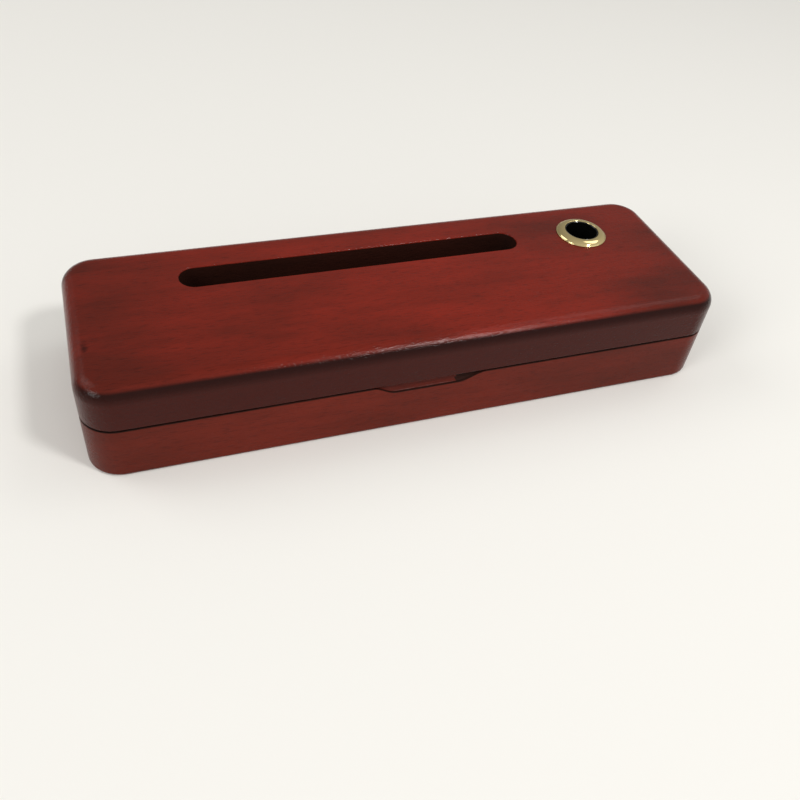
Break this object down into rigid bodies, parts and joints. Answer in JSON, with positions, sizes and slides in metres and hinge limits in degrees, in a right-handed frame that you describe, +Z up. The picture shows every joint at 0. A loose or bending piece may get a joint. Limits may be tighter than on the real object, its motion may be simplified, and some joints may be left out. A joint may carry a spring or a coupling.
{
  "type": "fountain pen case",
  "caption": "Hinged rosewood box for a fountain pen, with an upright rest slot and a plated pen hole in the lid and a flocked tray inside.",
  "frame": {"origin": "centre of the underside of the closed case", "axes": "+X along the case towards the pen hole, +Y to the back where the hinges are, +Z up"},
  "size_m": [0.17, 0.054, 0.0282],
  "materials": {
    "rosewood_base": "satin lacquer",
    "rosewood_lid": "satin lacquer",
    "gold_plate": "polished plate",
    "hinge_brass": "satin",
    "screw_brass": "satin",
    "black_plastic": "moulded gloss",
    "tray_flock": "flocked",
    "lining_velvet": "velvet",
    "magnet_nickel": "nickel plate"
  },
  "bodies": {
    "base": {"base_box": "rosewood_base", "pen_tray": "tray_flock", "pen_socket": "black_plastic", "left_hinge_base_leaf": "hinge_brass", "left_hinge_pin": "hinge_brass", "left_base_screw_a": "screw_brass", "left_base_screw_b": "screw_brass", "right_hinge_base_leaf": "hinge_brass", "right_hinge_pin": "hinge_brass", "right_base_screw_a": "screw_brass", "right_base_screw_b": "screw_brass", "left_base_magnet": "magnet_nickel", "right_base_magnet": "magnet_nickel"},
    "lid": {"lid": "rosewood_lid", "lid_lining": "lining_velvet", "pen_hole_ferrule": "gold_plate", "pen_hole_sleeve": "black_plastic", "left_hinge_lid_leaf": "hinge_brass", "left_lid_screw_a": "screw_brass", "left_lid_screw_b": "screw_brass", "right_hinge_lid_leaf": "hinge_brass", "right_lid_screw_a": "screw_brass", "right_lid_screw_b": "screw_brass", "left_lid_magnet": "magnet_nickel", "right_lid_magnet": "magnet_nickel"}
  },
  "joints": [
    {"name": "lid_hinge", "type": "hinge", "parent": "base", "child": "lid", "pos_m": [0, 0.0252, 0.015], "axis": [-1, 0, 0], "range_deg": [0, 100]}
  ]
}
